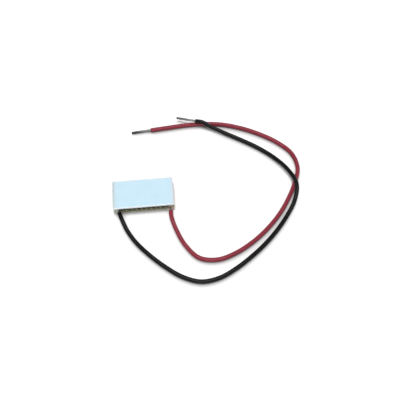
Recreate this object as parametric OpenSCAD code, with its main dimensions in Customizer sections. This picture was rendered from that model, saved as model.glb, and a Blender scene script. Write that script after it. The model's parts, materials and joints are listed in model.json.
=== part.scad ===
// Single-stage thermoelectric cooling module with two loose leads.
// Two ceramic plates hold a grid of semiconductor pellets, which copper tabs
// join in one chain that snakes up and down the columns. The two front corners
// of the grid stay empty: there the leads are soldered to the chain's ends.
// Z is up, and the origin is the centre of the hot side plate's outer face.

/* [Plates] */
// Length of both ceramic plates, along X
plate_l = 20; // [18:0.5:40]
// Width of both ceramic plates, along Y
plate_w = 10; // [9:0.5:20]
// Thickness of each ceramic plate
plate_t = 0.7; // [0.5:0.05:1.2]
// Bare ceramic past the outermost copper tabs, at the two ends
end_margin = 0.6; // [0.2:0.05:1]
// Bare ceramic past the outermost copper tabs, along the two sides
side_margin = 0.4; // [0.2:0.05:0.8]
// Small bevel along the edges of a plate's outer face
plate_bevel = 0.08; // [0.04:0.01:0.2]

/* [Pellets] */
// Grid columns along the plates; an even number, so that both leads end at the front
columns = 12; // [4:2:12]
// Grid rows across the plates; an even number, so that tabs pair them up
rows = 6; // [4:2:6]
// Side of each square pellet
pellet_w = 1; // [0.6:0.05:1.15]
// Height of each pellet
pellet_h = 1.8; // [1:0.1:3]

/* [Copper tabs] */
// Thickness of every copper tab
tab_t = 0.3; // [0.15:0.05:0.5]
// Copper left showing around a pellet
tab_border = 0.1; // [0.05:0.01:0.2]
// Corner cut of each tab
tab_corner = 0.15; // [0.05:0.01:0.25]

/* [Solder] */
// Thickness of the solder between a tab and a pellet
solder_t = 0.1; // [0.04:0.01:0.2]
// Solder squeezed out around a pellet
solder_spread = 0.05; // [0.02:0.01:0.05]
// Width of the solder fillet over each lead's bare end
fillet_w = 1.1; // [0.9:0.05:1.2]
// Length of that fillet
fillet_l = 1.4; // [1:0.1:1.6]
// Bare end showing past the fillet, inside the module
fillet_tail = 0.1; // [0.05:0.05:0.3]
// Solder under the bare end, over its tab
fillet_bed = 0.05; // [0.03:0.01:0.1]
// Solder over the top of the bare end
fillet_skin = 0.06; // [0.03:0.01:0.1]
// Radius of the hollow flank on each side of the fillet
fillet_flank_r = 0.3; // [0.2:0.02:0.34]

/* [Leads] */
// Outside diameter of the insulated leads
lead_d = 1.4; // [1:0.1:1.8]
// Diameter of the tinned conductor
core_d = 0.6; // [0.4:0.05:0.7]
// Bare conductor from the black insulation in over its tab
black_core_l = 2; // [1.8:0.1:2.2]
// Bare conductor from the red insulation in over its tab
red_core_l = 2.7; // [2.4:0.1:3]
// Clear distance from the plates' front edge to the black insulation
black_reach = 0.3; // [0.1:0.05:0.6]
// Clear distance from the plates' front edge to the red insulation
red_reach = 1; // [0.6:0.05:1.4]
// Tinned length bared at the far end of the leads
tinned_l = 6.8; // [3:0.2:12]
// Diameter of the conductor there, with the tin that it was dipped in
tinned_d = 0.8; // [0.6:0.05:1]
// Rounding at the tip of each tinned end
tinned_round = 0.1; // [0.05:0.01:0.15]
// Air left between the leads where one crosses the other
crossing_gap = 0.05; // [0.02:0.01:0.3]

/* [Hidden] */
$fn = 32;
tab_w = pellet_w + 2 * tab_border;
column_pitch = (plate_l - 2 * end_margin - tab_w) / (columns - 1);
row_pitch = (plate_w - 2 * side_margin - tab_w) / (rows - 1);
last_step = columns * rows - 1;

// Levels of the stack, from the floor up
lower_tab_z = plate_t;
lower_solder_z = lower_tab_z + tab_t;
pellet_z = lower_solder_z + solder_t;
upper_solder_z = pellet_z + pellet_h;
upper_tab_z = upper_solder_z + solder_t;
cold_plate_z = upper_tab_z + tab_t;

// Centre of a grid place; column 0 is at the left and row 0 at the front
function place_x(column) = (column - (columns - 1) / 2) * column_pitch;
function place_y(row) = (row - (rows - 1) / 2) * row_pitch;

// Step of the chain at a place: it climbs the even columns and descends the odd ones
function chain_step(column, row) = rows * column + (column % 2 == 0 ? row : rows - 1 - row);
function has_pellet(step) = step > 0 && step < last_step;
function is_p_type(step) = has_pellet(step) && step % 2 == 1;
function is_n_type(step) = has_pellet(step) && step % 2 == 0;

// Where each lead leaves the plates, and the way that its bare end points there
core_z = lower_solder_z + fillet_bed + core_d / 2;
black_exit = [place_x(0) + 0.5, -plate_w / 2 - black_reach];
red_exit = [place_x(columns - 1) - 0.1, -plate_w / 2 - red_reach];

// Heights along a lead: lying on the floor, and riding over the other lead
lying_z = lead_d / 2;
crossing_rise = lead_d + crossing_gap;
function lifted(share) = lying_z + share * crossing_rise;

// Route of each lead from its exit: X and Y from the exit, Z from the floor
black_route = [
    [0, 0, core_z],
    [0.9, -2.7, core_z],
    [2.5, -6.6, lifted(0.15)],
    [5.3, -11.0, lying_z],
    [9.4, -15.6, lying_z],
    [14.0, -19.8, lying_z],
    [19.0, -23.4, lying_z],
    [24.7, -25.5, lying_z],
    [30.7, -24.8, lying_z],
    [36.4, -22.1, lying_z],
    [41.7, -18.6, lying_z],
    [46.5, -14.8, lying_z],
    [51.0, -10.4, lying_z],
    [55.0, -5.6, lifted(0.15)],
    [58.3, -0.4, lifted(0.55)],
    [59.6, 5.3, lifted(1)],
    [57.3, 11.1, lifted(0.8)],
    [53.7, 16.1, lifted(0.25)],
    [49.3, 20.2, lying_z],
    [44.2, 23.7, lying_z],
    [38.8, 26.8, lifted(0.2)],
    [33.5, 29.6, lifted(0.8)],
    [30.4, 31.5, lifted(1.3)],
    [27.9, 32.3, lifted(1.2)],
];
red_route = [
    [0, 0, core_z],
    [0.1, -2.5, core_z],
    [1.4, -7.0, lifted(0.15)],
    [3.8, -12.2, lying_z],
    [7.9, -16.9, lying_z],
    [13.9, -18.0, lying_z],
    [20.0, -16.2, lying_z],
    [25.7, -13.0, lying_z],
    [30.7, -9.1, lying_z],
    [35.3, -4.4, lying_z],
    [39.0, 0.7, lying_z],
    [42.1, 6.3, lying_z],
    [44.2, 12.3, lying_z],
    [42.9, 18.3, lying_z],
    [38.3, 23.2, lying_z],
    [32.7, 26.9, lying_z],
    [26.9, 29.7, lying_z],
    [20.8, 31.7, lying_z],
    [14.5, 32.6, lying_z],
    [8.0, 32.7, lying_z],
    [1.1, 32.2, lying_z],
    [-4.9, 31.7, lying_z],
];
ring_sides = 8;
rings_per_lead = 40;

function unit(v) = v / norm(v);
function placed(route, exit) = [for (p = route) [p.x + exit.x, p.y + exit.y, p.z]];

// Catmull-Rom curve through the points of a route, kept from dipping into the floor
function blend(a, b, c, d, t) =
    0.5 * (2 * b + (c - a) * t + (2 * a - 5 * b + 4 * c - d) * t * t
    + (3 * b - a - 3 * c + d) * t * t * t);
function curve_point(route, s) =
    let (
        last = len(route) - 1,
        i = min(floor(s), last - 1),
        b = route[i],
        c = route[i + 1],
        a = i > 0 ? route[i - 1] : 2 * b - c,
        d = i + 2 <= last ? route[i + 2] : 2 * c - b,
        p = blend(a, b, c, d, s - i)
    )
    [p.x, p.y, max(p.z, lying_z)];
function ring_centre(route, ring) =
    curve_point(route, ring * (len(route) - 1) / (rings_per_lead - 1));
function start_way(route) = unit(route[1] - route[0]);
function end_way(route) = unit(route[len(route) - 1] - route[len(route) - 2]);
function ring_way(route, ring) =
    ring == 0 ? start_way(route)
    : ring == rings_per_lead - 1 ? end_way(route)
    : unit(ring_centre(route, ring + 1) - ring_centre(route, ring - 1));
function ring_point(route, ring, corner) =
    let (
        way = ring_way(route, ring),
        side = unit(cross(way, [0, 0, 1])),
        up = cross(side, way),
        angle = corner * 360 / ring_sides
    )
    ring_centre(route, ring) + lead_d / 2 * (cos(angle) * side + sin(angle) * up);

black_path = placed(black_route, black_exit);
red_path = placed(red_route, red_exit);

// Ceramic plate with its outer face bevelled, inner face at z = 0 and outer face up
module ceramic_plate() {
    edges = [
        [0, 0],
        [plate_w / 2, 0],
        [plate_w / 2, plate_t - plate_bevel],
        [plate_w / 2 - plate_bevel, plate_t],
        [0, plate_t],
    ];
    ends = [for (p = edges) [p.x + (plate_l - plate_w) / 2, p.y]];
    intersection() {
        rotate([90, 0, 90])
            linear_extrude(plate_l, center = true) mirrored_profile(edges);
        rotate([90, 0, 0])
            linear_extrude(plate_w, center = true) mirrored_profile(ends);
    }
}

module mirrored_profile(points) {
    polygon(concat(points, [for (i = [len(points) - 1 : -1 : 0]) [-points[i].x, points[i].y]]));
}

module hot_side_plate() {
    color("aliceblue") translate([0, 0, plate_t]) mirror([0, 0, 1]) ceramic_plate();
}

module cold_side_plate() {
    color("lightcyan") translate([0, 0, cold_plate_z]) ceramic_plate();
}

module pellet(column, row) {
    translate([place_x(column), place_y(row), pellet_z + pellet_h / 2])
        cube([pellet_w, pellet_w, pellet_h], center = true);
}

module p_pellets_row(number) {
    color("dimgray")
        for (column = [0 : columns - 1])
            if (is_p_type(chain_step(column, number - 1))) pellet(column, number - 1);
}

module n_pellets_row(number) {
    color("darkslategray")
        for (column = [0 : columns - 1])
            if (is_n_type(chain_step(column, number - 1))) pellet(column, number - 1);
}

// Copper tab over two neighbouring places, from the lower one to the higher, corners cut
module tab(from, to, z) {
    low = from - [tab_w, tab_w] / 2;
    high = to + [tab_w, tab_w] / 2;
    cut = tab_corner;
    translate([0, 0, z]) linear_extrude(tab_t) polygon([
        [low.x + cut, low.y], [high.x - cut, low.y],
        [high.x, low.y + cut], [high.x, high.y - cut],
        [high.x - cut, high.y], [low.x + cut, high.y],
        [low.x, high.y - cut], [low.x, low.y + cut],
    ]);
}

// Tab along a column, over two rows
module column_tab(column, row, z) {
    tab([place_x(column), place_y(row)], [place_x(column), place_y(row + 1)], z);
}

// Tab along a row, from one column to the next
module bridge_tab(column, row, z) {
    tab([place_x(column), place_y(row)], [place_x(column + 1), place_y(row)], z);
}

module lower_tabs_pair(number) {
    // The two outer tabs of the front pair belong to the leads
    inset = number == 1 ? 1 : 0;
    color("peru")
        for (column = [inset : columns - 1 - inset])
            column_tab(column, 2 * number - 2, lower_tab_z);
}

module upper_tabs_pair(number) {
    color("peru")
        for (column = [0 : columns - 1]) column_tab(column, 2 * number - 1, upper_tab_z);
}

module front_bridge_tabs() {
    color("peru")
        for (column = [1 : 2 : columns - 3]) bridge_tab(column, 0, upper_tab_z);
}

module rear_bridge_tabs() {
    color("peru")
        for (column = [0 : 2 : columns - 2]) bridge_tab(column, rows - 1, upper_tab_z);
}

module black_lead_tab() {
    color("peru") column_tab(0, 0, lower_tab_z);
}

module red_lead_tab() {
    color("peru") column_tab(columns - 1, 0, lower_tab_z);
}

module solder_joints(z) {
    side = pellet_w + 2 * solder_spread;
    color("silver")
        for (column = [0 : columns - 1], row = [0 : rows - 1])
            if (has_pellet(chain_step(column, row)))
                translate([place_x(column), place_y(row), z + solder_t / 2])
                    cube([side, side, solder_t], center = true);
}

module lower_solder_joints() {
    solder_joints(lower_solder_z);
}

module upper_solder_joints() {
    solder_joints(upper_solder_z);
}

// Turns what stands along Z to lie along a direction
module along(way) {
    rotate([0, acos(way.z), atan2(way.y, way.x)]) children();
}

// Bare conductor from the insulation's first face in over its tab
module lead_core(path, length) {
    color("lightgray") translate(path[0]) along(-start_way(path)) cylinder(d = core_d, h = length);
}

// Solder fillet drawn across the bare end, hollow on both flanks
module lead_solder(path, length) {
    height = fillet_bed + core_d + fillet_skin;
    way = start_way(path);
    color("silver")
        translate([path[0].x, path[0].y, lower_solder_z] - (length - fillet_tail) * way)
            rotate([90, 0, atan2(way.y, way.x) + 90]) mirror([0, 0, 1])
                translate([0, 0, -fillet_l]) linear_extrude(fillet_l) difference() {
                    translate([-fillet_w / 2, 0]) square([fillet_w, height]);
                    for (side = [-1, 1])
                        translate([side * fillet_w / 2, height]) circle(r = fillet_flank_r);
                    translate([0, fillet_bed + core_d / 2]) circle(d = core_d);
                }
}

module black_lead_solder() {
    lead_solder(black_path, black_core_l);
}

module red_lead_solder() {
    lead_solder(red_path, red_core_l);
}

module black_lead_core() {
    lead_core(black_path, black_core_l);
}

module red_lead_core() {
    lead_core(red_path, red_core_l);
}

// Plain tube of rings along a path, closed at both ends
module insulation(path) {
    points = [
        for (ring = [0 : rings_per_lead - 1], corner = [0 : ring_sides - 1])
            ring_point(path, ring, corner)
    ];
    walls = [
        for (ring = [0 : rings_per_lead - 2], corner = [0 : ring_sides - 1])
            let (here = ring * ring_sides, next = (corner + 1) % ring_sides)
            [here + corner, here + ring_sides + corner, here + ring_sides + next, here + next]
    ];
    first_face = [for (corner = [0 : ring_sides - 1]) corner];
    last_face = [
        for (corner = [ring_sides - 1 : -1 : 0]) (rings_per_lead - 1) * ring_sides + corner
    ];
    polyhedron(points, concat([first_face], walls, [last_face]), convexity = 10);
}

module black_lead_insulation() {
    color("black") insulation(black_path);
}

module red_lead_insulation() {
    color("firebrick") insulation(red_path);
}

// Tinned conductor at the far end, its tip rounded
module tinned_end(path) {
    color("lightgray") translate(path[len(path) - 1]) along(end_way(path))
        rotate_extrude() {
            square([tinned_d / 2, tinned_l - tinned_round]);
            square([tinned_d / 2 - tinned_round, tinned_l]);
            translate([tinned_d / 2 - tinned_round, tinned_l - tinned_round])
                intersection() {
                    circle(r = tinned_round);
                    square(tinned_round);
                }
        }
}

module black_tinned_end() {
    tinned_end(black_path);
}

module red_tinned_end() {
    tinned_end(red_path);
}

hot_side_plate();
cold_side_plate();
for (row = [1 : rows]) {
    p_pellets_row(row);
    n_pellets_row(row);
}
for (pair = [1 : rows / 2])
    lower_tabs_pair(pair);
for (pair = [1 : rows / 2 - 1])
    upper_tabs_pair(pair);
front_bridge_tabs();
rear_bridge_tabs();
black_lead_tab();
red_lead_tab();
lower_solder_joints();
upper_solder_joints();
black_lead_solder();
red_lead_solder();
black_lead_core();
red_lead_core();
black_lead_insulation();
red_lead_insulation();
black_tinned_end();
red_tinned_end();
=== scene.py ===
import json
import math

import bmesh
import bpy
from mathutils import Matrix, Vector, noise

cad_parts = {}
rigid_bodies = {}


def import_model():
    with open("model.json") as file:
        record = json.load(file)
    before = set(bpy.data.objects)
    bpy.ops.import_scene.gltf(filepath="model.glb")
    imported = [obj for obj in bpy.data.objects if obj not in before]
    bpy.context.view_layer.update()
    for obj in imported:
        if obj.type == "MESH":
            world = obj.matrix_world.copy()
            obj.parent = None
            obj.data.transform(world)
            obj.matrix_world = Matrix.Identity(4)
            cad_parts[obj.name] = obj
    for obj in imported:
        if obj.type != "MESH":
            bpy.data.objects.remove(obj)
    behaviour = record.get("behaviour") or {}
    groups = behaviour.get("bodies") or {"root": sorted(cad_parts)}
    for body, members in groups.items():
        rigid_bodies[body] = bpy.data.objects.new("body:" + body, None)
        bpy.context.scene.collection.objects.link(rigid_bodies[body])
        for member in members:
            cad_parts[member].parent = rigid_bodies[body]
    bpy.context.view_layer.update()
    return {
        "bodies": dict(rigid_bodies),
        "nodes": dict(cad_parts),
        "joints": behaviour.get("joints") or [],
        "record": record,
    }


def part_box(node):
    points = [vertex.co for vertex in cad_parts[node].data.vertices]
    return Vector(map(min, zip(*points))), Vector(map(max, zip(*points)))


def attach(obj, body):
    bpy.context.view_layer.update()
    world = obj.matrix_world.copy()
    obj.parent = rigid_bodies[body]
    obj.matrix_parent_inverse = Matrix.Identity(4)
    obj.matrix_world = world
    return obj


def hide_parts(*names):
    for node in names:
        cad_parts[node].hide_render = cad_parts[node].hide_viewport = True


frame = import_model()
nodes = frame["nodes"]
mm = 0.001
print("frame loaded:", len(nodes), "nodes")


cameraView = {
    "target": (18.65, -2.45, 0.0),  # mm
    "azimuth": -5.08,  # degrees
    "elevation": 65.31,
    "distance": 200.6,  # mm
    "lens": 54.0,
    "clipStart": 10,  # mm
}


def addObject(name, data):
    item = bpy.data.objects.new(name, data)
    bpy.context.scene.collection.objects.link(item)
    return item


def placeCamera(spec):
    turn = math.radians(spec["azimuth"])
    lift = math.radians(spec["elevation"])
    back = Vector((math.sin(turn) * math.cos(lift), -math.cos(turn) * math.cos(lift), math.sin(lift)))
    data = bpy.data.cameras.new("camera")
    data.lens = spec["lens"]
    data.clip_start = spec["clipStart"] * mm
    camera = addObject("camera", data)
    camera.location = (Vector(spec["target"]) + back * spec["distance"]) * mm
    camera.rotation_euler = (-back).to_track_quat("-Z", "Y").to_euler()
    bpy.context.scene.camera = camera


placeCamera(cameraView)
print("camera placed")


# Shared ways to make a piece
def addPiece(name, mesh, material):
    piece = addObject(name, mesh)
    mesh.materials.clear()
    mesh.materials.append(material)
    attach(piece, "root")
    return piece


def meshFrom(bm, name, smooth=True):
    bmesh.ops.recalc_face_normals(bm, faces=bm.faces)
    for face in bm.faces:
        face.smooth = smooth
    mesh = bpy.data.meshes.new(name)
    bm.to_mesh(mesh)
    bm.free()
    return mesh


def roundEdges(bm, edges, width, segments):
    bmesh.ops.bevel(bm, geom=edges, offset=width, offset_type="OFFSET", segments=segments,
                    profile=0.5, affect="EDGES", material=-1, clamp_overlap=True)


# Shared effects, as node groups; their sizes are in metres
def startGroup(name, inputs, outputs):
    group = bpy.data.node_groups.new(name, "ShaderNodeTree")
    for label, kind, value in inputs:
        socket = group.interface.new_socket(name=label, in_out="INPUT", socket_type=kind)
        if value is not None:
            socket.default_value = value
    for label in outputs:
        group.interface.new_socket(name=label, in_out="OUTPUT", socket_type="NodeSocketFloat")
    return group, group.nodes.new("NodeGroupInput"), group.nodes.new("NodeGroupOutput")


def mathNode(tree, operation, first, second, clamp=False):
    node = tree.nodes.new("ShaderNodeMath")
    node.operation = operation
    node.use_clamp = clamp
    for socket, value in zip(node.inputs, (first, second)):
        if isinstance(value, (int, float)):
            socket.default_value = value
        else:
            tree.links.new(value, socket)
    return node.outputs[0]


def rangeNode(tree, value, low, high, toLow=0.0, toHigh=1.0):  # from one range to another, eased
    node = tree.nodes.new("ShaderNodeMapRange")
    node.interpolation_type = "SMOOTHSTEP"
    tree.links.new(value, node.inputs["Value"])
    for label, given in (("From Min", low), ("From Max", high), ("To Min", toLow), ("To Max", toHigh)):
        if isinstance(given, (int, float)):
            node.inputs[label].default_value = given
        else:
            tree.links.new(given, node.inputs[label])
    return node.outputs[0]


def noiseNode(group, vector, given, detail):  # noise whose features are as large as the group's Size
    node = group.nodes.new("ShaderNodeTexNoise")
    node.inputs["Detail"].default_value = detail
    group.links.new(vector, node.inputs["Vector"])
    group.links.new(mathNode(group, "DIVIDE", 1.0, given.outputs["Size"]), node.inputs["Scale"])
    return node


def makePatches():  # soft-edged blotches of any size
    group, given, out = startGroup(
        "patches",
        [("Vector", "NodeSocketVector", None), ("Size", "NodeSocketFloat", 0.002),
         ("Cover", "NodeSocketFloat", 0.5), ("Softness", "NodeSocketFloat", 0.1)],
        ["Mask"])
    blots = noiseNode(group, given.outputs["Vector"], given, 4.0)
    blots.inputs["Roughness"].default_value = 0.6
    edge = mathNode(group, "SUBTRACT", 1.0, given.outputs["Cover"])
    low = mathNode(group, "SUBTRACT", edge, given.outputs["Softness"])
    high = mathNode(group, "ADD", edge, given.outputs["Softness"])
    group.links.new(rangeNode(group, blots.outputs["Fac"], low, high), out.inputs["Mask"])
    return group


def makeGrain():  # fine even tooth of a surface, and specks scattered over it
    group, given, out = startGroup(
        "grain",
        [("Vector", "NodeSocketVector", None), ("Size", "NodeSocketFloat", 0.0001)],
        ["Height", "Specks"])
    tooth = noiseNode(group, given.outputs["Vector"], given, 3.0)
    cells = group.nodes.new("ShaderNodeTexVoronoi")
    group.links.new(given.outputs["Vector"], cells.inputs["Vector"])
    group.links.new(mathNode(group, "DIVIDE", 1.0, given.outputs["Size"]), cells.inputs["Scale"])
    dots = rangeNode(group, cells.outputs["Distance"], 0.12, 0.3, 1.0, 0.0)  # full near a cell's middle
    chosen = rangeNode(group, tooth.outputs["Fac"], 0.56, 0.66)  # only cells where the noise is high
    group.links.new(tooth.outputs["Fac"], out.inputs["Height"])
    group.links.new(mathNode(group, "MULTIPLY", dots, chosen), out.inputs["Specks"])
    return group


def makeScratches():  # fine lines that run one way, stretched along an axis of the vector
    group, given, out = startGroup(
        "scratches",
        [("Vector", "NodeSocketVector", None), ("Stretch", "NodeSocketVector", (1.0, 0.03, 1.0)),
         ("Size", "NodeSocketFloat", 0.0002)],
        ["Lines"])
    pull = group.nodes.new("ShaderNodeVectorMath")
    pull.operation = "MULTIPLY"
    group.links.new(given.outputs["Vector"], pull.inputs[0])
    group.links.new(given.outputs["Stretch"], pull.inputs[1])
    lines = noiseNode(group, pull.outputs[0], given, 2.0)
    group.links.new(lines.outputs["Fac"], out.inputs["Lines"])
    return group


def makeRim():  # how near a point is to each side of a plate centred on the origin
    group, given, out = startGroup(
        "rim",
        [("Vector", "NodeSocketVector", None), ("Half Length", "NodeSocketFloat", 0.01),
         ("Half Width", "NodeSocketFloat", 0.005), ("Reach", "NodeSocketFloat", 0.0004)],
        ["Front", "Back", "Left", "Right"])
    split = group.nodes.new("ShaderNodeSeparateXYZ")
    group.links.new(given.outputs["Vector"], split.inputs[0])
    sides = (("Front", 1, "Half Width", -1.0), ("Back", 1, "Half Width", 1.0),
             ("Left", 0, "Half Length", -1.0), ("Right", 0, "Half Length", 1.0))
    for label, axis, half, sign in sides:
        along = mathNode(group, "MULTIPLY", split.outputs[axis], sign)
        inner = mathNode(group, "SUBTRACT", given.outputs[half], given.outputs["Reach"])
        group.links.new(rangeNode(group, along, inner, given.outputs[half]), out.inputs[label])
    return group


patchesGroup = makePatches()
grainGroup = makeGrain()
scratchesGroup = makeScratches()
rimGroup = makeRim()


class Finish:  # one material in the making; its sizes and depths are in mm
    def __init__(self, name, color, metallic=0.0, specular=0.5, attribute=None):
        self.material = bpy.data.materials.new(name)
        self.material.use_nodes = True
        self.tree = self.material.node_tree
        self.shader = self.tree.nodes["Principled BSDF"]
        self.shader.inputs["Metallic"].default_value = metallic
        self.shader.inputs["Specular IOR Level"].default_value = specular
        if attribute:
            source = self.tree.nodes.new("ShaderNodeAttribute")
            source.attribute_name = attribute
            self.vector = source.outputs["Vector"]
        else:
            self.vector = self.tree.nodes.new("ShaderNodeTexCoord").outputs["Object"]
        self.color = color

    def effect(self, group, label, **values):  # values as the group takes them
        node = self.tree.nodes.new("ShaderNodeGroup")
        node.node_tree = group
        self.tree.links.new(self.vector, node.inputs["Vector"])
        for key, value in values.items():
            node.inputs[key.replace("_", " ")].default_value = value
        return node.outputs[label]

    def patches(self, size, cover, softness):
        return self.effect(patchesGroup, "Mask", Size=size * mm, Cover=cover, Softness=softness)

    def grain(self, size):
        return self.effect(grainGroup, "Height", Size=size * mm)

    def specks(self, size):
        return self.effect(grainGroup, "Specks", Size=size * mm)

    def lines(self, size, stretch):
        return self.effect(scratchesGroup, "Lines", Size=size * mm, Stretch=stretch)

    def axis(self, index):  # X, Y or Z of the material's vector
        split = self.tree.nodes.new("ShaderNodeSeparateXYZ")
        self.tree.links.new(self.vector, split.inputs[0])
        return split.outputs[index]

    def ramp(self, index, start, end):  # from 0 to 1 between two places on an axis
        return rangeNode(self.tree, self.axis(index), start * mm, end * mm)

    def mix(self, first, second, mask, amount):
        node = self.tree.nodes.new("ShaderNodeMix")
        node.data_type = "RGBA"
        sockets = [s for s in node.inputs if s.type == "RGBA"]
        for socket, value in zip(sockets, (first, second)):
            if isinstance(value, (tuple, list)):
                socket.default_value = (*value, 1.0)
            else:
                self.tree.links.new(value, socket)
        factor = mathNode(self.tree, "MULTIPLY", mask, amount, clamp=True)
        self.tree.links.new(factor, node.inputs["Factor"])
        return [s for s in node.outputs if s.type == "RGBA"][0]

    def tint(self, second, mask, amount):
        self.color = self.mix(self.color, second, mask, amount)

    def roughen(self, low, high, size, softness):
        rough = rangeNode(self.tree, self.patches(size, cover=0.5, softness=softness), 0.0, 1.0, low, high)
        self.tree.links.new(rough, self.shader.inputs["Roughness"])

    def bump(self, height, strength, depth):
        node = self.tree.nodes.new("ShaderNodeBump")
        node.inputs["Strength"].default_value = strength
        node.inputs["Distance"].default_value = depth * mm
        self.tree.links.new(height, node.inputs["Height"])
        last = self.shader.inputs["Normal"].links
        if last:
            self.tree.links.new(last[0].from_socket, node.inputs["Normal"])
        self.tree.links.new(node.outputs[0], self.shader.inputs["Normal"])

    def done(self):
        self.tree.links.new(self.color, self.shader.inputs["Base Color"])
        return self.material


# Routes of the two leads, X and Y from where a lead leaves the plates, Z from the floor, in mm
leadSizes = {
    "diameter": 1.4,  # over the insulation
    "core": 0.6,  # stranded conductor
    "tip": 6.8,  # bared at the far end
    "tipDiameter": 0.8,  # with the tin it was dipped in
    "coreHeight": 1.35,
    "rise": 1.45,  # from lying on the floor to lying on the other lead
    "stepsEach": 14,  # steps of the line between two points of a route
}


def lifted(share):
    return leadSizes["diameter"] / 2 + share * leadSizes["rise"]


lying = lifted(0)
coreHeight = leadSizes["coreHeight"]
blackLead = {
    "name": "black",
    "exit": (-8.3, -5.3),
    "coreLength": 2.0,
    "length": 129.9,
    "route": [
        (0, 0, coreHeight), (0.9, -2.7, coreHeight), (2.5, -6.6, lifted(0.15)),
        (5.3, -11.0, lying), (9.4, -15.6, lying), (14.0, -19.8, lying), (19.0, -23.4, lying),
        (24.7, -25.5, lying), (30.7, -24.8, lying), (36.4, -22.1, lying), (41.7, -18.6, lying),
        (46.5, -14.8, lying), (51.0, -10.4, lying), (55.0, -5.6, lifted(0.15)),
        (58.3, -0.4, lifted(0.55)), (59.6, 5.3, lifted(1)), (57.3, 11.1, lifted(0.8)),
        (53.7, 16.1, lifted(0.25)), (49.3, 20.2, lying), (44.2, 23.7, lying),
        (38.8, 26.8, lifted(0.2)), (33.5, 29.6, lifted(0.8)), (30.4, 31.5, lifted(1.3)),
        (27.9, 32.3, lifted(1.2)),
    ],
}
redLead = {
    "name": "red",
    "exit": (8.7, -6.0),
    "coreLength": 2.7,
    "length": 128.7,
    "route": [
        (0, 0, coreHeight), (0.1, -2.5, coreHeight), (1.4, -7.0, lifted(0.15)),
        (3.8, -12.2, lying), (7.9, -16.9, lying), (13.9, -18.0, lying), (20.0, -16.2, lying),
        (25.7, -13.0, lying), (30.7, -9.1, lying), (35.3, -4.4, lying), (39.0, 0.7, lying),
        (42.1, 6.3, lying), (44.2, 12.3, lying), (42.9, 18.3, lying), (38.3, 23.2, lying),
        (32.7, 26.9, lying), (26.9, 29.7, lying), (20.8, 31.7, lying), (14.5, 32.6, lying),
        (8.0, 32.7, lying), (1.1, 32.2, lying), (-4.9, 31.7, lying),
    ],
}
leads = (blackLead, redLead)


def routePoints(lead):
    return [Vector((x + lead["exit"][0], y + lead["exit"][1], z)) * mm for x, y, z in lead["route"]]


def smoothLine(points, steps):  # Catmull-Rom line through the points, never under the floor
    line = []
    for i in range(len(points) - 1):
        b, c = points[i], points[i + 1]
        a = points[i - 1] if i else 2 * b - c
        d = points[i + 2] if i + 2 < len(points) else 2 * c - b
        for step in range(steps + (i == len(points) - 2)):
            t = step / steps
            p = 0.5 * (2 * b + (c - a) * t + (2 * a - 5 * b + 4 * c - d) * t ** 2
                       + (3 * b - a - 3 * c + d) * t ** 3)
            p.z = max(p.z, lying * mm)
            line.append(p)
    return line


def framesAlong(line):  # a frame at every point of a line, Z along it, with no twist
    turn = (line[1] - line[0]).to_track_quat("Z", "Y")
    frames = []
    for i, point in enumerate(line):
        way = line[min(i + 1, len(line) - 1)] - line[max(i - 1, 0)]
        turn = (turn @ Vector((0, 0, 1))).rotation_difference(way) @ turn
        frames.append(Matrix.Translation(point) @ turn.to_matrix().to_4x4())
    return frames


def sweep(name, profile, rings):  # rings: frame, size and distance along, one after another
    bm = bmesh.new()
    straight = bm.verts.layers.float_vector.new("straight")  # where a point is on the lead laid straight
    frame, size, along = rings[0]
    corners = [Vector((x * mm, y * mm, 0)) for x, y in profile]
    first = [bm.verts.new(corner) for corner in corners]
    edges = [bm.edges.new((first[i - 1], first[i])) for i in range(len(first))]
    place = frame @ Matrix.Scale(size, 4)
    bmesh.ops.transform(bm, matrix=place, verts=first)
    for vert, corner in zip(first, corners):
        vert[straight] = corner * size + Vector((0, 0, along))
    ends = [edges]
    for frame, size, along in rings[1:]:
        nextPlace = frame @ Matrix.Scale(size, 4)
        grown = bmesh.ops.extrude_edge_only(bm, edges=edges)["geom"]
        verts = [g for g in grown if isinstance(g, bmesh.types.BMVert)]
        edges = [g for g in grown if isinstance(g, bmesh.types.BMEdge) and len(g.link_faces) == 1]
        back = place.inverted()
        for vert in verts:
            corner = back @ vert.co
            corner.z = 0
            vert[straight] = corner * size + Vector((0, 0, along))
        bmesh.ops.transform(bm, matrix=nextPlace @ back, verts=verts)
        place = nextPlace
    ends.append(edges)
    for loop in ends:
        bmesh.ops.edgeloop_fill(bm, edges=loop)
    return meshFrom(bm, name)


insulation = {
    "sides": 20,
    "bore": 0.41,  # mm, radius of the hole that the strands leave through
    "boreDepth": 0.5,
    "boreLip": 0.03,  # depth at which the hole starts
    "rim": 0.07,  # rounding of the cut end
    "rimMiddle": 0.35,  # share of the rounding at its middle ring
    "specular": 0.11,
    "black": (0.0026, 0.0030, 0.0033),
    "blackDust": (0.06, 0.06, 0.06),
    "red": (0.295, 0.036, 0.057),
    "redDust": (0.44, 0.15, 0.17),
    "shade": 0.72,  # how dark the darker stretches are
}


def circleProfile(radius, sides):
    return [(radius * math.cos(2 * math.pi * i / sides), radius * math.sin(2 * math.pi * i / sides))
            for i in range(sides)]


def insulationMaterial(name, color, dust, spec):
    finish = Finish(name, color, specular=spec["specular"], attribute="straight")
    darker = [c * spec["shade"] for c in color]
    finish.tint(darker, finish.patches(size=9, cover=0.45, softness=0.2), amount=0.6)
    finish.tint(dust, finish.patches(size=1.6, cover=0.34, softness=0.08), amount=0.16)
    finish.tint(dust, finish.specks(size=0.22), amount=0.3)
    finish.roughen(low=0.13, high=0.24, size=3, softness=0.25)
    finish.bump(finish.lines(size=0.18, stretch=(1.0, 1.0, 0.02)), strength=0.2, depth=0.02)
    finish.bump(finish.grain(size=0.09), strength=0.2, depth=0.01)
    return finish.done()


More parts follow.
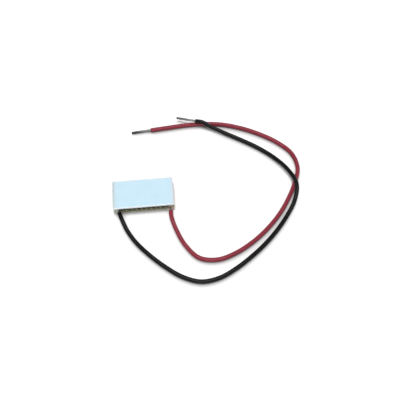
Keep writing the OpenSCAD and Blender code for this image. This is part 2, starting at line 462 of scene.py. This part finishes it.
def cutEnd(ring, flip, spec):  # rings from inside the bore over the face of the cut to the outside
    frame, along = ring[0], ring[2]
    outer = leadSizes["diameter"] / 2
    rim = spec["rim"]
    middle = rim * spec["rimMiddle"]
    steps = ((spec["boreDepth"], spec["bore"]), (spec["boreLip"], spec["bore"]), (0.0, outer - rim),
             (middle, outer - middle), (rim, outer))
    return [(frame @ Matrix.Translation((0, 0, flip * depth * mm)), radius / outer, along + flip * depth * mm)
            for depth, radius in steps]


def insulationRings(line, spec):
    distances = [0.0]
    for a, b in zip(line, line[1:]):
        distances.append(distances[-1] + (b - a).length)
    rings = [(frame, 1.0, along) for frame, along in zip(framesAlong(line), distances)]
    return cutEnd(rings[0], 1, spec) + rings[1:-1] + cutEnd(rings[-1], -1, spec)[::-1]


def makeInsulation(lead, spec):
    color = lead["name"]
    name = color + "Insulation"
    profile = circleProfile(leadSizes["diameter"] / 2, spec["sides"])
    mesh = sweep(name, profile, insulationRings(lead["line"], spec))
    material = insulationMaterial(color + "Vinyl", spec[color], spec[color + "Dust"], spec)
    piece = addPiece(name, mesh, material)
    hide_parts(color + "_lead_insulation")
    return piece


for lead in leads:
    lead["line"] = smoothLine(routePoints(lead), leadSizes["stepsEach"])
    lead["insulation"] = makeInsulation(lead, insulation)
print("insulation swept:", len(blackLead["line"]), "and", len(redLead["line"]), "steps")


# Tinned strands at both ends of a lead
strands = {
    "sides": 42,
    "around": 6,  # strands that show round the middle one
    "groove": 0.16,  # share of the radius, under the skin of tin
    "turnsPerMm": 0.22,
    "step": 0.2,  # mm
    "swell": 1.03,  # size before the dents
    "dents": 0.04,
    "dentsPerMm": 2.1,
    "cutSizes": (0.95, 0.72),  # of the last two rings
    "tin": (0.22, 0.225, 0.215),
    "worn": (0.062, 0.061, 0.058),
    "dark": (0.012, 0.011, 0.011),
    "darkFrom": 0.2,  # shares of the length
    "darkTo": 0.75,
    "copper": (0.30, 0.17, 0.10),
}
farEnds = (("blackTip", blackLead, 0.6, 3.1), ("redTip", redLead, 0.85, 7.4))  # with darkness and seed
nearEnds = (("blackCore", blackLead, 1.7), ("redCore", redLead, 5.2))  # with seed


def strandProfile(radius, spec):
    profile = []
    half = math.pi / spec["around"]
    for i in range(spec["sides"]):
        angle = 2 * math.pi * i / spec["sides"]
        off = (angle + half) % (2 * half) - half
        reach = radius * (1 - spec["groove"] + spec["groove"] * math.cos(spec["around"] / 2 * off) ** 2)
        profile.append((reach * math.cos(angle), reach * math.sin(angle)))
    return profile


def strandMaterial(name, spec, length, darkness):
    finish = Finish(name, spec["tin"], metallic=1.0, attribute="straight")
    finish.tint(spec["worn"], finish.patches(size=0.9, cover=0.48, softness=0.14), amount=0.7)
    finish.tint(spec["copper"], finish.patches(size=0.5, cover=0.3, softness=0.05), amount=0.35)
    toEnd = finish.ramp(2, spec["darkFrom"] * length, spec["darkTo"] * length)
    finish.tint(spec["dark"], toEnd, darkness)
    finish.roughen(low=0.26, high=0.5, size=0.6, softness=0.2)
    finish.bump(finish.grain(size=0.12), strength=0.35, depth=0.03)
    return finish.done()


def strandRings(start, way, length, spec, seed):
    turn = way.to_track_quat("Z", "Y").to_matrix().to_4x4()
    rings = []
    count = round(length / spec["step"])
    for i in range(count + 1):
        along = length * i / count
        size = spec["swell"] - spec["dents"] * abs(noise.noise((along * spec["dentsPerMm"], seed, 0)))
        if i > count - 2:
            size *= spec["cutSizes"][i - count + 1]
        twist = Matrix.Rotation(2 * math.pi * along * spec["turnsPerMm"], 4, "Z")
        rings.append((Matrix.Translation(start + way * along * mm) @ turn @ twist, size, along * mm))
    return rings


def makeStrands(name, node, start, way, length, diameter, darkness, seed):
    profile = strandProfile(diameter / 2, strands)
    mesh = sweep(name, profile, strandRings(start, way.normalized(), length, strands, seed))
    material = strandMaterial(name + "Tin", strands, length, darkness)
    piece = addPiece(name, mesh, material)
    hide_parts(node)
    return piece


for name, lead, darkness, seed in farEnds:
    end = lead["line"][-1]
    lead["tip"] = makeStrands(name, lead["name"] + "_tinned_end", end, end - routePoints(lead)[-2],
                              leadSizes["tip"], leadSizes["tipDiameter"], darkness, seed)
for name, lead, seed in nearEnds:
    end = lead["line"][0]
    makeStrands(name, lead["name"] + "_lead_core", end, end - routePoints(lead)[1],
                lead["coreLength"], leadSizes["core"], darkness=0.0, seed=seed)


# Ceramic plates
plate = {
    "length": 20.0,  # mm
    "width": 10.0,
    "thickness": 0.7,
    "bevel": 0.08,
    "bevelSegments": 2,
    "cut": 0.06,  # wander of the snapped edges
    "cutWaves": (1.3, 1.3, 2.0),  # per mm
    "cutsLong": 47,
    "cutsWide": 23,
    "atEdge": 0.01,  # how near a side a point counts as on it
    "edgeAngle": 0.9,  # radians, least angle that is rounded
    "smoothUnder": 50,  # degrees
    "body": (0.625, 0.845, 0.97),
    "cool": (0.57, 0.81, 0.955),
    "warm": (0.69, 0.87, 0.96),
    "speck": (0.40, 0.45, 0.48),
    "rims": (  # painted edge light and shade: a whiter front lip as painted highlight, a lighter back edge as painted light, darker left and right strips as painted shade; side, color, reach in mm, amount
        ("Back", (0.82, 0.91, 0.95), 0.9, 0.7),
        ("Right", (0.72, 0.77, 0.84), 1.3, 0.8),
        ("Left", (0.60, 0.67, 0.70), 1.5, 1.0),
        ("Front", (0.93, 0.97, 0.99), 0.6, 0.8),
    ),
    "residue": (0.27, 0.265, 0.15),  # flux baked on round the stack, made dark as painted shade in the gap between the plates
    "residuePale": (0.46, 0.44, 0.31),
    "corners": (  # where the leads were soldered on, lighter because less painted shade is laid where no pellets stand: color, and from where to where it grows, in mm
        ((0.54, 0.57, 0.49), -7.3, -8.3),
        ((0.62, 0.47, 0.31), 6.9, 8.1),
    ),
    "cornerAmount": 0.9,
    "coldStain": (3.36, 3.31, 0.8),  # height where the plate is untouched and where it is fully darkened in mm, amount: flux residue and painted shade in the gap between the plates
    "hotStain": (-0.3, 0.6, 0.95),
}


def plateMaterial(name, spec, stain):
    finish = Finish(name, spec["body"], specular=0.4)
    finish.tint(spec["cool"], finish.patches(size=5, cover=0.5, softness=0.2), amount=0.7)
    finish.tint(spec["warm"], finish.patches(size=1.8, cover=0.4, softness=0.15), amount=0.35)
    sizes = {"Half_Length": spec["length"] / 2 * mm, "Half_Width": spec["width"] / 2 * mm}
    # each side of the plate is lightened or darkened as painted light and shade
    for side, color, reach, amount in spec["rims"]:
        finish.tint(color, finish.effect(rimGroup, side, Reach=reach * mm, **sizes), amount)
    finish.tint(spec["speck"], finish.specks(size=0.35), amount=0.25)
    blotches = finish.patches(size=1.5, cover=0.42, softness=0.16)
    residue = finish.mix(spec["residue"], spec["residuePale"], blotches, amount=0.5)
    for color, inner, outer in spec["corners"]:
        residue = finish.mix(residue, color, finish.ramp(0, inner, outer), spec["cornerAmount"])
    # darker towards the gap between the plates: flux residue with painted shade
    openHeight, darkHeight, amount = stain
    finish.tint(residue, finish.ramp(2, openHeight, darkHeight), amount)
    finish.roughen(low=0.42, high=0.6, size=1.2, softness=0.25)
    finish.bump(finish.lines(size=0.12, stretch=(0.03, 1.0, 1.0)), strength=0.12, depth=0.02)
    finish.bump(finish.grain(size=0.08), strength=0.25, depth=0.015)
    return finish.done()


def gridPlate(spec):
    bm = bmesh.new()
    bmesh.ops.create_cube(bm, size=1.0)
    size = Vector((spec["length"], spec["width"], spec["thickness"])) * mm
    bmesh.ops.scale(bm, vec=size, verts=bm.verts)
    for axis, cuts in ((0, spec["cutsLong"]), (1, spec["cutsWide"])):
        edges = [e for e in bm.edges if abs(e.verts[0].co[axis] - e.verts[1].co[axis]) > mm]
        bmesh.ops.subdivide_edges(bm, edges=edges, cuts=cuts, use_grid_fill=True)
    return bm


def makePlate(name, node, spec, outerUp, seed, stain):
    bm = gridPlate(spec)
    waves = spec["cutWaves"]
    for vert in bm.verts:  # snapped edges wander a little, inwards only
        x, y, z = vert.co / mm
        wave = noise.noise((x * waves[0] + seed, y * waves[1], z * waves[2]))
        dip = spec["cut"] * (1 + wave) / 2
        if abs(x) > spec["length"] / 2 - spec["atEdge"]:
            vert.co.x -= math.copysign(dip * mm, x)
        if abs(y) > spec["width"] / 2 - spec["atEdge"]:
            vert.co.y -= math.copysign(dip * mm, y)
    outer = [e for e in bm.edges if e.is_manifold and e.calc_face_angle(0) > spec["edgeAngle"]
             and min(v.co.z for v in e.verts) > 0]
    roundEdges(bm, outer, spec["bevel"] * mm, spec["bevelSegments"])
    if not outerUp:
        bmesh.ops.scale(bm, vec=(1, 1, -1), verts=bm.verts)
    low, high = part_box(node)
    bmesh.ops.translate(bm, vec=(low + high) / 2, verts=bm.verts)
    mesh = meshFrom(bm, name)
    mesh.set_sharp_from_angle(angle=math.radians(spec["smoothUnder"]))
    material = plateMaterial(name.replace("Plate", "Alumina"), spec, stain)
    piece = addPiece(name, mesh, material)
    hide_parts(node)


makePlate("coldPlate", "cold_side_plate", plate, outerUp=True, seed=2.0, stain=plate["coldStain"])
makePlate("hotPlate", "hot_side_plate", plate, outerUp=False, seed=9.0, stain=plate["hotStain"])
print("plates made")


# Pellets, tabs and solder between the plates
inside = {
    "pelletEdge": 0.04,  # mm, rounding of the pellets' edges
    "tabEdge": 0.05,
    "solderEdge": 0.04,
    "mergeWithin": 0.001,
    "flatAngle": 0.02,  # radians, under which two faces are one
    "sharpAngle": 0.6,  # radians, over which an edge is rounded
    # From pelletP to flux, the colours are set far darker than bare telluride, nickel, copper, tin and
    # solder, as painted shade for the gap between the plates; their stain, oxide and flux patches are partly
    # real residue
    "pelletP": (0.072, 0.078, 0.040),
    "pelletN": (0.056, 0.064, 0.036),
    "pelletShade": 0.5,  # how dark the streaks along a pellet are
    "plated": (0.16, 0.6),  # mm of nickel at a pellet's ends, and the share of it that is solid
    "stain": (0.060, 0.055, 0.020),
    "nickel": (0.12, 0.125, 0.072),
    "copper": (0.19, 0.13, 0.062),
    "oxide": (0.085, 0.078, 0.034),
    "tinned": (0.15, 0.155, 0.095),
    "solder": (0.27, 0.28, 0.23),
    "solderDull": (0.14, 0.145, 0.105),
    "flux": (0.19, 0.145, 0.05),
    "blackJoint": (0.50, 0.53, 0.46),
    "redJoint": (0.64, 0.49, 0.34),
    "jointDull": (0.34, 0.33, 0.26),
    "jointFlux": (0.52, 0.40, 0.26),
}


def pelletMaterial(name, color, spec):
    finish = Finish(name, color, metallic=0.35)
    along = (1.0, 1.0, 0.12)
    darker = [c * spec["pelletShade"] for c in color]
    finish.tint(darker, finish.lines(size=0.25, stretch=along), amount=0.7)
    # dark patches: stain, made darker as painted shade for the gap between the plates
    finish.tint(spec["stain"], finish.patches(size=1.4, cover=0.42, softness=0.1), amount=0.6)
    low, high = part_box("p_pellets_row_1")
    band, solid = spec["plated"][0] * mm, spec["plated"][0] * spec["plated"][1] * mm
    height = finish.axis(2)
    lower = rangeNode(finish.tree, height, low.z + solid, low.z + band, 1.0, 0.0)
    upper = rangeNode(finish.tree, height, high.z - band, high.z - solid)
    finish.tint(spec["nickel"], mathNode(finish.tree, "ADD", lower, upper, clamp=True), amount=0.8)
    finish.roughen(low=0.34, high=0.6, size=0.4, softness=0.2)
    finish.bump(finish.lines(size=0.2, stretch=along), strength=0.4, depth=0.04)
    return finish.done()


def tabMaterial(spec):
    finish = Finish("copperTab", spec["copper"], metallic=0.9)
    finish.tint(spec["oxide"], finish.patches(size=2.2, cover=0.5, softness=0.15), amount=0.75)
    finish.tint(spec["tinned"], finish.patches(size=1.2, cover=0.4, softness=0.08), amount=0.6)
    finish.tint(spec["flux"], finish.patches(size=1.6, cover=0.34, softness=0.1), amount=0.6)
    finish.roughen(low=0.3, high=0.55, size=0.7, softness=0.2)
    finish.bump(finish.grain(size=0.14), strength=0.3, depth=0.03)
    return finish.done()


def solderMaterial(name, metal, dull, flux, metallic):
    finish = Finish(name, metal, metallic=metallic)
    finish.tint(dull, finish.patches(size=0.8, cover=0.5, softness=0.15), amount=0.8)
    finish.tint(flux, finish.patches(size=1.3, cover=0.36, softness=0.08), amount=0.7)
    finish.roughen(low=0.22, high=0.5, size=0.5, softness=0.2)
    finish.bump(finish.patches(size=0.3, cover=0.5, softness=0.3), strength=0.5, depth=0.05)
    return finish.done()


def dressNode(node, material, slot, edge, spec):  # a merged copy of a CAD node with its edges rounded
    bm = bmesh.new()
    bm.from_mesh(nodes[node].data)
    bmesh.ops.remove_doubles(bm, verts=bm.verts, dist=spec["mergeWithin"] * mm)
    bmesh.ops.dissolve_limit(bm, angle_limit=spec["flatAngle"], verts=bm.verts, edges=bm.edges)
    sharp = [e for e in bm.edges if len(e.link_faces) == 2 and e.calc_face_angle(0) > spec["sharpAngle"]]
    roundEdges(bm, sharp, edge * mm, segments=1)
    name = "".join(word.title() if i else word for i, word in enumerate(node.split("_")))
    piece = addPiece(name, meshFrom(bm, name, smooth=False), material)
    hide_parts(node)


pelletP = pelletMaterial("tellurideP", inside["pelletP"], inside)
pelletN = pelletMaterial("tellurideN", inside["pelletN"], inside)
copperTab = tabMaterial(inside)
solderSkin = solderMaterial("solder", inside["solder"], inside["solderDull"], inside["flux"], metallic=1.0)
jointColors = (inside["jointDull"], inside["jointFlux"])
blackJoint = solderMaterial("blackJoint", inside["blackJoint"], *jointColors, metallic=0.6)
redJoint = solderMaterial("redJoint", inside["redJoint"], *jointColors, metallic=0.5)
dressing = (  # part of a node's name, material, slot and rounding; the first that fits is used
    ("p_pellets", pelletP, "p_pellet", inside["pelletEdge"]),
    ("n_pellets", pelletN, "n_pellet", inside["pelletEdge"]),
    ("black_lead_tab", blackJoint, "copper_tab", inside["tabEdge"]),
    ("red_lead_tab", redJoint, "copper_tab", inside["tabEdge"]),
    ("_tab", copperTab, "copper_tab", inside["tabEdge"]),
    ("solder_joints", solderSkin, "solder", inside["solderEdge"]),
)
for node in sorted(nodes):
    found = [look for part, *look in dressing if part in node]
    if found:
        dressNode(node, *found[0], inside)
print("stack dressed")


# Solder over the ends of the leads, and the flux left round it
fillet = {
    "halfLength": 0.75,  # mm
    "halfWidth": 0.52727,
    "height": 0.74,
    "fromEnd": 0.8,  # from the inner end of the bare wire to the middle of the fillet
    "base": 1.0,  # mm, over the floor
    "subdivisions": 4,
    "cut": 0.25,  # where the ball's underside is flat, in radii under its middle
    "flare": 0.18,  # how much the foot spreads
    "flareUnder": 0.3,
    "lumps": 0.05,
    "lumpsPerRadius": 2,
}


def makeFillet(name, node, lead, spec, seed, material):
    start = lead["line"][0]
    way = (routePoints(lead)[1] - start).normalized()
    middle = start - way * (lead["coreLength"] - spec["fromEnd"]) * mm
    often = spec["lumpsPerRadius"]
    bm = bmesh.new()
    bmesh.ops.create_icosphere(bm, subdivisions=spec["subdivisions"], radius=1.0)
    for vert in bm.verts:
        x, y, z = vert.co
        level = (max(z, -spec["cut"]) + spec["cut"]) / (1 + spec["cut"])
        spread = 1.0 + spec["flare"] * max(0.0, spec["flareUnder"] - z)
        lump = 1.0 + spec["lumps"] * noise.noise((x * often + seed, y * often, z * often))
        vert.co = Vector((x * spec["halfLength"] * spread, y * spec["halfWidth"] * spread,
                          level * spec["height"])) * lump * mm
    turn = Matrix.Rotation(math.atan2(way.y, way.x), 4, "Z")
    place = Matrix.Translation((middle.x, middle.y, spec["base"] * mm)) @ turn
    bmesh.ops.transform(bm, matrix=place, verts=bm.verts)
    piece = addPiece(name, meshFrom(bm, name), material)
    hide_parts(node)


makeFillet("blackFillet", "black_lead_solder", blackLead, fillet, seed=1.0, material=blackJoint)
makeFillet("redFillet", "red_lead_solder", redLead, fillet, seed=4.0, material=redJoint)
print("lead joints made")


# Floor, light and background
studio = {
    "floorHalf": 3000,  # mm
    "floorColor": 0.88,
    "floorShown": 1.3,  # what the camera sees, so that the bare floor is white
    "floorNear": 120,  # mm from the origin, from where the floor turns into the white background
    "floorFar": 300,
    "contactReach": 2.3,  # mm, how far the painted soft shadow beside the object spreads
    "contactLean": 55,  # degrees from upright, toward the back
    "contactFrom": 0.1,  # share of open air at which the floor is darkest
    "contactShown": 0.22,  # the floor's color there
    "skyStrength": 0.30,
    "lamps": (  # name, watts, position and width in mm
        ("keyLamp", 6.3, (0, 20, 1000), 560),
        ("fillLamp", 1.9, (-60, -900, 400), 700),
    ),
}


def seenByCamera(tree):
    path = tree.nodes.new("ShaderNodeLightPath")
    seen = mathNode(tree, "MAXIMUM", path.outputs["Is Camera Ray"], path.outputs["Is Glossy Ray"])
    return mathNode(tree, "MAXIMUM", seen, path.outputs["Is Transmission Ray"])


def paintedContactShadow(tree, spec):  # painted shadow: the floor's color for the camera, darker where something is close behind
    near = tree.nodes.new("ShaderNodeAmbientOcclusion")
    near.inputs["Distance"].default_value = spec["contactReach"] * mm
    lean = math.radians(spec["contactLean"])
    facing = tree.nodes.new("ShaderNodeCombineXYZ")
    facing.inputs["Y"].default_value = math.sin(lean)
    facing.inputs["Z"].default_value = math.cos(lean)
    tree.links.new(facing.outputs[0], near.inputs["Normal"])
    return rangeNode(tree, near.outputs["AO"], spec["contactFrom"], 1.0,
                     spec["contactShown"], spec["floorShown"])


def makeFloor(spec):
    bm = bmesh.new()
    bmesh.ops.create_grid(bm, x_segments=1, y_segments=1, size=spec["floorHalf"] * mm)
    floor = addObject("floor", meshFrom(bm, "floor"))
    material = bpy.data.materials.new("floorPaper")
    material.use_nodes = True
    tree = material.node_tree
    tree.nodes.remove(tree.nodes["Principled BSDF"])
    seen = seenByCamera(tree)
    paper = tree.nodes.new("ShaderNodeBsdfDiffuse")
    color = rangeNode(tree, seen, 0.0, 1.0, spec["floorColor"], paintedContactShadow(tree, spec))
    tree.links.new(color, paper.inputs["Color"])
    away = tree.nodes.new("ShaderNodeVectorMath")
    away.operation = "LENGTH"
    tree.links.new(tree.nodes.new("ShaderNodeTexCoord").outputs["Object"], away.inputs[0])
    far = rangeNode(tree, away.outputs["Value"], spec["floorNear"] * mm, spec["floorFar"] * mm)
    white = tree.nodes.new("ShaderNodeEmission")
    mixed = tree.nodes.new("ShaderNodeMixShader")
    tree.links.new(mathNode(tree, "MULTIPLY", far, seen), mixed.inputs[0])
    tree.links.new(paper.outputs[0], mixed.inputs[1])
    tree.links.new(white.outputs[0], mixed.inputs[2])
    tree.links.new(mixed.outputs[0], tree.nodes["Material Output"].inputs["Surface"])
    floor.data.materials.append(material)


def makeLamp(name, power, position, width):
    data = bpy.data.lights.new(name, "AREA")
    data.energy = power
    data.shape = "DISK"
    data.size = width * mm
    lamp = addObject(name, data)
    lamp.location = Vector(position) * mm
    lamp.rotation_euler = (-lamp.location).to_track_quat("-Z", "Y").to_euler()


def makeSky(spec):
    world = bpy.data.worlds.new("sky")
    bpy.context.scene.world = world
    world.use_nodes = True
    tree = world.node_tree
    background = tree.nodes["Background"]
    background.inputs["Color"].default_value = (1, 1, 1, 1)
    strength = rangeNode(tree, seenByCamera(tree), 0.0, 1.0, spec["skyStrength"], 1.0)
    tree.links.new(strength, background.inputs["Strength"])


makeFloor(studio)
for lamp in studio["lamps"]:
    makeLamp(*lamp)
makeSky(studio)
bpy.context.scene.view_settings.view_transform = "Standard"
print("studio set")
